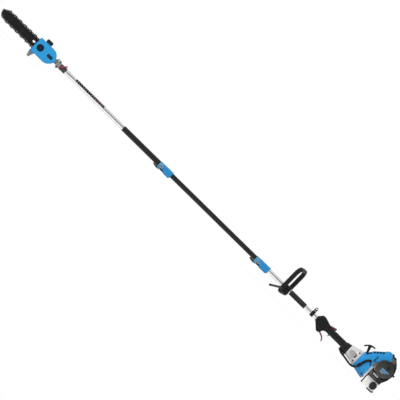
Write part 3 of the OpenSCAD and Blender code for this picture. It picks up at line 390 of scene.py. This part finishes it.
def turned(name, foot, axis, steps, finish, sides=40):
    """A round piece drawn up from a disc; each step is a distance along the axis and a radius."""
    axis = Vector(axis).normalized()
    bpy.ops.object.select_all(action="DESELECT")
    reach, radius = steps[0]
    bpy.ops.mesh.primitive_circle_add(
        vertices=sides, radius=radius, fill_type="NGON", location=Vector(foot) + axis * reach,
        rotation=axis.to_track_quat("Z", "Y").to_euler())
    piece = bpy.context.object
    piece.name = name
    bpy.ops.object.mode_set(mode="EDIT")
    bpy.ops.mesh.select_all(action="SELECT")
    for next_reach, next_radius in steps[1:]:
        bpy.ops.mesh.extrude_region_move(TRANSFORM_OT_translate={"value": axis * (next_reach - reach)})
        bpy.ops.transform.resize(
            value=(next_radius / radius,) * 3, center_override=Vector(foot) + axis * next_reach)
        reach, radius = next_reach, next_radius
    bpy.ops.mesh.select_all(action="SELECT")
    bpy.ops.mesh.normals_make_consistent(inside=False)
    bpy.ops.object.mode_set(mode="OBJECT")
    bpy.ops.object.transform_apply(location=True, rotation=True, scale=True)
    bpy.ops.object.shade_smooth_by_angle(angle=math.radians(35))
    piece.data.materials.append(finish.material)
    return piece


cable_run = from_pole([
    (237, -10, -29), (259.6, -13, -41), (293, -24, -46), (321, -36, -51), (353, -52, -53), (374, -66, -43),
    (383, -74, -25), (389, -76, 2), (398, -72, 26), (409, -67, 37), (421, -61, 38),
])
cable_r, conduit_r = 0.0057, 0.0066
cable = sleeve("throttle_cable_sleeve", cable_run, cable_r)
cable.data.materials.append(rubber.material)
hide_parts("throttle_cable")
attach(cable, "engine_unit")
bellows_foot, bellows_end = from_pole([(381, -72.8, -31), (386.5, -75.4, -9)])
lip_r, cuff_r, crest_r, root_r = 0.0056, 0.0085, 0.0098, 0.0078
first_fold, fold_pitch, crest_to_root = 0.0030, 0.0045, 0.0020
bellows_steps = [(0, lip_r), (0.0015, cuff_r)]
for fold in range(4):
    crest = first_fold + fold_pitch * fold
    bellows_steps += [(crest, crest_r), (crest + crest_to_root, root_r)]
bellows_steps += [(0.0200, cuff_r), (0.0225, lip_r)]
bellows = turned("cable_bellows", bellows_foot, bellows_end - bellows_foot, bellows_steps, rubber)
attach(bellows, "engine_unit")

conduit = sleeve("cable_conduit", cable_run[6:], conduit_r)
conduit.data.materials.append(rubber.material)
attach(conduit, "engine_unit")

# Clutch housing: the same pale casting, with a greyer panel in its side recess; the arc slot
# beside the panel and the seats of the flange screws are painted near black, as shade in them.
clutch_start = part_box("clutch_housing")[0][0]
flange_gap = 0.001
flange_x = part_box("fan_housing")[0][0] - flange_gap
pale, panel_grey, slot_and_seat_shade = (0.58, 0.565, 0.56), (0.34, 0.33, 0.325), (0.03, 0.03, 0.032)
panel_start, panel_end, panel_foot, panel_top = 0.0098, 0.0477, -0.0222, 0.0152
panel_face, panel_floor = -0.0347, -0.0340
arc_middle, arc_inner_r, arc_outer_r, arc_start = 0.031, 0.0190, 0.0270, 0.0478
arc_foot, arc_top, arc_face = -0.0138, 0.0118, -0.02
housing_cast = Finish("pale_casting_with_panel", pale, 0.5, 0.1, Specular_IOR_Level=0.35)
housing_cast.grain(1100, 0.00010, roughness_change=0.2)
x, y, z = (housing_cast.along(a) for a in range(3))
panel = x.within(clutch_start + panel_start, clutch_start + panel_end) * y.within(panel_face, panel_floor)
panel = panel * z.within(axis_z + panel_foot, axis_z + panel_top)
# painted shade: the arc slot and, below, the screw seats are coloured near black
arc_slot_shade = housing_cast.off_axis(clutch_start + arc_middle, axis_z - 0.001).within(arc_inner_r**2, arc_outer_r**2)
arc_slot_shade = arc_slot_shade * x.over(clutch_start + arc_start) * y.under(arc_face)
arc_slot_shade = arc_slot_shade * z.within(axis_z + arc_foot, axis_z + arc_top)
screw_ring_r, screw_seat_r, seat_deep, seat_shallow = 0.046, 0.0052, 0.0165, 0.006
seat_y, seat_z = -0.799 * screw_ring_r, 0.602 * screw_ring_r
seat_shade = ((z - axis_z).math("ABSOLUTE") - seat_z).math("POWER", 2.0) + (y - seat_y).math("POWER", 2.0)
seat_shade = seat_shade.under(screw_seat_r**2) * x.within(flange_x - seat_deep, flange_x - seat_shallow)
shade = housing_cast.mix(panel, pale, panel_grey)
housing_cast.set(Base_Color=housing_cast.mix(arc_slot_shade.math("MAXIMUM", seat_shade), shade, slot_and_seat_shade))
paint(housing_cast, "clutch_housing")

# Air box, its domed round cover and the choke lever: black and charcoal nylon, light grey lever.
# The box is greyer round the black pocket of the choke lever and has a painted highlight in
# grey at its crown, and three plain stripes on the cover stand in the place of its badge.
box_shade, grey_patch_and_highlight = (0.022, 0.020, 0.020), (0.090, 0.086, 0.082)
grey_patch_end, grey_patch_foot, grey_patch_top = 0.061, -0.0180, 0.0095
pocket_start, pocket_foot = 0.0190, -0.0105
crown_foot, crown_top, crown_face, crown_lean, crown_edge = 0.1140, 0.1365, -0.058, 0.46, 0.1273
box_black = Finish("air_box_black", box_shade, 0.5, Specular_IOR_Level=0.15)
box_black.grain(1300, 0.00006, roughness_change=0.2)
x, y, z = (box_black.along(a) for a in range(3))
x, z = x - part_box("air_box")[0][0], z - axis_z
choke_pocket = x.over(pocket_start) * z.over(pocket_foot)
# greyer patch round the black pocket of the choke lever
grey_patch = x.under(grey_patch_end) * z.within(grey_patch_foot, grey_patch_top) * (1 - choke_pocket)
# painted highlight: a grey patch on the crown of the box
crown_highlight = z.within(crown_foot, crown_top) * (x + z * crown_lean).under(crown_edge) * y.over(crown_face)
box_black.set(Base_Color=box_black.mix(grey_patch.math("MAXIMUM", crown_highlight), box_shade, grey_patch_and_highlight))
paint(box_black, "air_box")
cover_box_low, cover_box_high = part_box("air_cover")
charcoal = Finish("charcoal_nylon", (0.030, 0.030, 0.029), 0.42, Specular_IOR_Level=0.2)
charcoal.grain(1200, 0.00006, roughness_change=0.2)
x, y, z = (charcoal.along(a) for a in range(3))
# painted reflection: the dome is coloured lighter towards its foot and darker towards its top
height = (z - cover_box_low[2]) / (cover_box_high[2] - cover_box_low[2])
shade = charcoal.mix(height, (0.062, 0.061, 0.060), (0.013, 0.014, 0.0135))
face = y.under(cover_box_low[1] + face_skin)
stripe_inset, stripe_blue, stripe_pale = 0.038, (0.11, 0.28, 0.47), (0.33, 0.38, 0.44)
stripe_start = cover_box_low[0] + stripe_inset
for foot, tall, long, colour in (
    (0.044, 0.0060, 0.048, stripe_blue),
    (0.035, 0.0050, 0.036, stripe_blue),
    (0.027, 0.0035, 0.024, stripe_pale),
):
    stripe = x.within(stripe_start, stripe_start + long)
    stripe = stripe * z.within(cover_box_low[2] + foot, cover_box_low[2] + foot + tall)
    shade = charcoal.mix(stripe * face, shade, colour)
charcoal.set(Base_Color=shade)
paint(charcoal, "air_cover")
light_grey = Finish("light_grey_nylon", (0.36, 0.35, 0.355), 0.45)
light_grey.grain(1200, 0.00004, colour_change=0.08)
paint(light_grey, "choke_lever")

# Fan housing: blue nylon shroud, moulded in one; its inside, the slots on its slope, the louvres
# in its sides, the step at the slope's foot and the mouth of the rope guide are painted dark, as shade and
# shadow.
skirt_reach = 0.009
fan_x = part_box("fan_housing")[0][0] + skirt_reach
shroud_blue, step_shade_blue, louvre_shade_blue = (0.0165, 0.246, 0.540), (0.005, 0.085, 0.200), (0.002, 0.022, 0.060)
guide_shadow_blue, slot_shade_blue, inside_shade_blue = (0.001, 0.008, 0.028), (0.003, 0.008, 0.020), (0.006, 0.008, 0.012)
shroud = Finish("blue_nylon_shroud", shroud_blue, 0.36, Specular_IOR_Level=0.26)
shroud.grain(1600, 0.00004, roughness_change=0.12)
x, y, z = (shroud.along(a) for a in range(3))
x, z, side = x - fan_x, z - axis_z, y.math("ABSOLUTE")
front_rise, front_line, back_fall, back_line = 0.857, 0.0656, 1.263, 0.2888
inner_start, inner_end, inner_foot, inner_top, inner_side = 0.030, 0.1368, 0.055, 0.147, 0.0434
# painted shade: the inner faces of the shroud are coloured near black
under_front = (z - x * front_rise).under(front_line)
under_back = (z + x * back_fall).under(back_line)
inside = under_front * under_back * z.within(inner_foot, inner_top)
inside = inside * x.within(inner_start, inner_end) * side.under(inner_side)
louvre_foot, louvre_top, louvre_pitch, louvre_share = 0.0498, 0.0850, 0.0099, 0.62
louvre_start, louvre_end, louvre_floor, louvre_face = 0.0595, 0.0695, 0.0440, 0.0482
# painted shade: the gaps between the louvre slats are coloured dark
louvre = x.within(louvre_start, louvre_end) * z.within(louvre_foot, louvre_top)
louvre = louvre * side.within(louvre_floor, louvre_face)
louvre = louvre * ((z - louvre_foot) / louvre_pitch).math("FRACT").under(louvre_share)
guide_r, side_wall = 0.0088, 0.030
# painted shadow: a dark spot round the mouth of the rope guide
guide = shroud.off_axis(fan_x + 0.0085, axis_z + 0.0595).under(guide_r**2) * y.under(-side_wall)
slope, first_slot_x, first_slot_z = math.radians(40.5), 0.0285, 0.089
slot_pitch, slot_share, slot_lead, slot_depth = 0.01645, 0.72, 0.10, 0.0092
slots_start, slots_end, step_start, step_end, step_depth = -0.003, 0.063, -0.027, -0.010, 0.0150
uphill = (x - first_slot_x) * math.cos(slope) + (z - first_slot_z) * math.sin(slope)
outward = (z - first_slot_z) * math.cos(slope) - (x - first_slot_x) * math.sin(slope)
# painted shade: the slots on the slope are coloured dark
slots = (uphill / slot_pitch + slot_lead).math("FRACT").under(slot_share)
slots = slots * uphill.within(slots_start, slots_end) * outward.over(-slot_depth) * side.over(side_wall)
# painted shade: a dark strip along the step at the foot of the slope
step_shade = uphill.within(step_start, step_end) * outward.over(-step_depth) * side.over(side_wall)
shade = shroud_blue
for mask, colour in (
    (step_shade, step_shade_blue), (louvre, louvre_shade_blue), (guide, guide_shadow_blue), (slots, slot_shade_blue),
    (inside, inside_shade_blue),
):
    shade = shroud.mix(mask, shade, colour)
shroud.set(Base_Color=shade)
paint(shroud, "fan_housing")

# Starter rope: braided cord between the reel's outlet and the pull handle; it pays out of the
# housing as the handle is drawn.
rope_finish = Finish("braided_rope", (0.060, 0.060, 0.062), 0.85, Specular_IOR_Level=0.15)
rope_finish.grain(2500, 0.00020, colour_change=0.5)
pull_way = Vector((-0.344, 0, 0.939)).normalized()
rope_out = from_pole([(366, 0, 56)])[0]
rope_r, rope_start, ring_pitch = 0.0021, -0.020, 0.0008
rope_steps = [(rope_start + ring_pitch * ring, rope_r) for ring in range(39)]
rope = turned("starter_rope", rope_out, pull_way, rope_steps, rope_finish, 16)
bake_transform(rope)

# Ignition lead: rubber-covered wire from the spark plug cap down into the shroud, pressed into
# the cap at one end and screwed to the coil at the other.
plug_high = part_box("spark_plug_boot")[1]
lead_start = from_pole([(plug_high[0] * 1000 - 3, 0, (plug_high[2] - axis_z) * 1000 - 10)])[0]
lead_r = 0.0033
lead_run = [
    (0, 0, 0), (0.008, 0, -0.001), (0.013, 0.002, -0.009), (0.012, 0.004, -0.022), (0.004, 0.006, -0.036),
]
lead = sleeve("ignition_lead", [lead_start + Vector(step) for step in lead_run], lead_r)
lead.data.materials.append(rubber.material)
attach(lead, "engine_unit")

# Rope guide in the housing, a nylon eyelet that the rope runs through, and the moulded neck of
# the pull handle that seats on it.
guide_black = Finish("rope_guide_nylon", (0.004, 0.012, 0.030), 0.4, Specular_IOR_Level=0.25)
guide_black.grain(1400, 0.00005, roughness_change=0.2)
guide_steps = [
    (-0.014, 0.0110), (0.0030, 0.0110), (0.0050, 0.0092),
    (0.0056, 0.0060), (0.0046, 0.0036), (-0.006, 0.0030),
]
guide_ring = turned("rope_guide", rope_out, pull_way, guide_steps, guide_black)
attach(guide_ring, "engine_unit")
neck_steps = [
    (0.0065, 0.0030), (0.0080, 0.0062), (0.0150, 0.0070),
    (0.0230, 0.0078), (0.0330, 0.0086), (0.0370, 0.0060),
]
neck = turned("pull_handle_neck", rope_out, pull_way, neck_steps, black_plastic)
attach(neck, "pull_handle")

# Shade bar behind the slots of the slope: one dark bar with rounded edges, clipped
# inside the shroud, standing for the shade seen through the slots.
def chamfered(name, centre, size, edge, finish, turn=0.0):
    """A block with rounded edges, turned about the Y axis."""
    bpy.ops.object.select_all(action="DESELECT")
    bpy.ops.mesh.primitive_cube_add(size=1, location=centre, rotation=(0, turn, 0))
    piece = bpy.context.object
    piece.name = name
    piece.scale = size
    bpy.ops.object.transform_apply(location=True, rotation=True, scale=True)
    bpy.ops.object.mode_set(mode="EDIT")
    bpy.ops.mesh.select_all(action="SELECT")
    bpy.ops.mesh.bevel(offset=edge, segments=2)
    bpy.ops.object.mode_set(mode="OBJECT")
    bpy.ops.object.shade_smooth_by_angle(angle=math.radians(35))
    piece.data.materials.append(finish.material)
    return piece


uphill_way = Vector((math.cos(slope), 0, math.sin(slope)))
out_way = Vector((-math.sin(slope), 0, math.cos(slope)))
first_slot = Vector((fan_x + first_slot_x, 0, axis_z + first_slot_z))
# painted shade: a dark bar under the slots of the slope stands for the shade behind them
vent_uphill, vent_sunk, vent_aside = 0.029, 0.0005, 0.0045
vent_middle = first_slot + uphill_way * vent_uphill - out_way * vent_sunk - Vector((0, vent_aside, 0))
vent_size, vent_edge = (0.060, 0.083, 0.0052), 0.0006
vent = chamfered("vent_louvre", vent_middle, vent_size, vent_edge, guide_black, -slope)
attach(vent, "engine_unit")

# Muffler and its guard: pressed steel with heat-proof matt black paint, bolted to the exhaust
# side of the cylinder.
muffler_paint = Finish("heat_proof_black", (0.030, 0.028, 0.027), 0.75)
muffler_paint.grain(1200, 0.00010, colour_change=0.3)
paint(muffler_paint, "muffler")

# Fuel tank: blow-moulded translucent polyethylene, milky white, a little darker where fuel stands.
# It hangs in the tank stand under the crankcase.
milky, fuel_tint, fuel_height = (0.86, 0.87, 0.82), (0.72, 0.70, 0.60), 0.030
tank_white = Finish("milky_polyethylene", milky, 0.42, Specular_IOR_Level=0.4)
tank_white.grain(600, 0.00008, roughness_change=0.15)
fill = tank_white.along(2).under(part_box("fuel_tank")[0][2] + fuel_height)
tank_white.set(Base_Color=tank_white.mix(fill * 0.5, milky, fuel_tint))
paint(tank_white, "fuel_tank")

# Studio: pale floor that carries the tool's shadow, white surroundings that cameras and shiny
# surfaces see, a cooler sky light on the tool itself, and three soft lamps.
low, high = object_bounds()
floor_gap, floor_length, floor_depth = 0.0003, 4.6, 2.4
bpy.ops.mesh.primitive_plane_add(size=1, location=((low[0] + high[0]) / 2, 0, low[2] - floor_gap))
floor = bpy.context.object
floor.name = "studio_floor"
floor.scale = (floor_length, floor_depth, 1)
bpy.ops.object.transform_apply(location=True, rotation=True, scale=True)
floor_finish = Finish("studio_floor", (0.94, 0.94, 0.94), 0.9, Specular_IOR_Level=0.1)
floor.data.materials.append(floor_finish.material)
floor.visible_glossy = False

world = bpy.data.worlds.new("studio")
bpy.context.scene.world = world
world.use_nodes = True
nodes, links = world.node_tree.nodes, world.node_tree.links
nodes.clear()
rays = nodes.new("ShaderNodeLightPath")
seen = nodes.new("ShaderNodeMath")
seen.operation = "MAXIMUM"
links.new(rays.outputs["Is Camera Ray"], seen.inputs[0])
links.new(rays.outputs["Is Transmission Ray"], seen.inputs[1])
seen_or_glossy = nodes.new("ShaderNodeMath")
seen_or_glossy.operation = "MAXIMUM"
links.new(seen.outputs[0], seen_or_glossy.inputs[0])
links.new(rays.outputs["Is Glossy Ray"], seen_or_glossy.inputs[1])
light = nodes.new("ShaderNodeBackground")
light.inputs["Color"].default_value = (0.93, 0.96, 1.0, 1.0)
light.inputs["Strength"].default_value = 0.52
white = nodes.new("ShaderNodeBackground")
white.inputs["Color"].default_value = (1.0, 1.0, 1.0, 1.0)
mixed = nodes.new("ShaderNodeMixShader")
out = nodes.new("ShaderNodeOutputWorld")
links.new(seen_or_glossy.outputs[0], mixed.inputs[0])
links.new(light.outputs[0], mixed.inputs[1])
links.new(white.outputs[0], mixed.inputs[2])
links.new(mixed.outputs[0], out.inputs[0])

middle = Vector(((low[0] + high[0]) / 2, 0, 0))
for name, spot, size, power in (
    ("key", (-0.9, -5.0, 4.4), 4.5, 275),
    ("fill", (2.2, -5.2, 0.4), 4.0, 95),
    ("back", (0.3, 4.6, 3.6), 3.6, 120),
):
    lamp_data = bpy.data.lights.new(name, "AREA")
    lamp_data.size = size
    lamp_data.energy = power
    lamp = bpy.data.objects.new(name, lamp_data)
    bpy.context.collection.objects.link(lamp)
    lamp.visible_glossy = False
    lamp.location = middle + Vector(spot)
    lamp.rotation_euler = (middle - lamp.location).to_track_quat("-Z", "Y").to_euler()

# Black studio flag: a wall in front of the tool that only shiny surfaces see. It draws the dark
# line along the middle of the round tubes.
bpy.ops.mesh.primitive_plane_add(size=1, location=(middle.x, -6.0, 0), rotation=(math.radians(90), 0, 0))
flag = bpy.context.object
flag.name = "studio_flag"
flag.scale = (14, 8.2, 1)
bpy.ops.object.transform_apply(location=True, rotation=True, scale=True)
flag_finish = Finish("studio_flag_black", (0.01, 0.01, 0.01), 1.0, Specular_IOR_Level=0.0)
flag.data.materials.append(flag_finish.material)
flag.visible_camera = flag.visible_diffuse = flag.visible_shadow = flag.visible_transmission = False

# White bounce card under the tool, seen only by shiny surfaces: it lifts the lower half of the
# tubes.
bpy.ops.mesh.primitive_plane_add(size=1, location=(middle.x, -1.5, -1.2))
card = bpy.context.object
card.name = "studio_bounce_card"
card.scale = (14, 9, 1)
bpy.ops.object.transform_apply(location=True, rotation=True, scale=True)
card_finish = Finish("studio_bounce_white", (0.9, 0.9, 0.9), 1.0, Specular_IOR_Level=0.0)
card_finish.set(Emission_Color=(1.0, 1.0, 1.0), Emission_Strength=0.68)
card.data.materials.append(card_finish.material)
card.visible_camera = card.visible_diffuse = card.visible_shadow = card.visible_transmission = False

# Camera: long lens, level, 3 degrees round from square on, rolled so that the tool lies on the
# diagonal of the frame.
azimuth, roll = math.radians(3.0), math.radians(44.4593)
view_width, sensor_mm, distance = 2.2, 36.0, 80.0
right = Vector((math.cos(azimuth), math.sin(azimuth), 0))
up = Vector((0, 0, 1))
back = right.cross(up)
camera_data = bpy.data.cameras.new("camera")
camera_data.sensor_width = sensor_mm
camera_data.lens = sensor_mm * distance / view_width
camera_data.clip_start = 1.0
camera_data.clip_end = 1000.0
camera = bpy.data.objects.new("camera", camera_data)
bpy.context.collection.objects.link(camera)
centre_along, centre_up = -0.8794, -0.0211
image_right = right * math.cos(roll) + up * math.sin(roll)
image_up = up * math.cos(roll) - right * math.sin(roll)
camera.matrix_world = Matrix((image_right, image_up, back)).transposed().to_4x4()
camera.location = right * centre_along + up * centre_up + back * distance
bpy.context.scene.camera = camera
bpy.context.scene.view_settings.view_transform = "Standard"
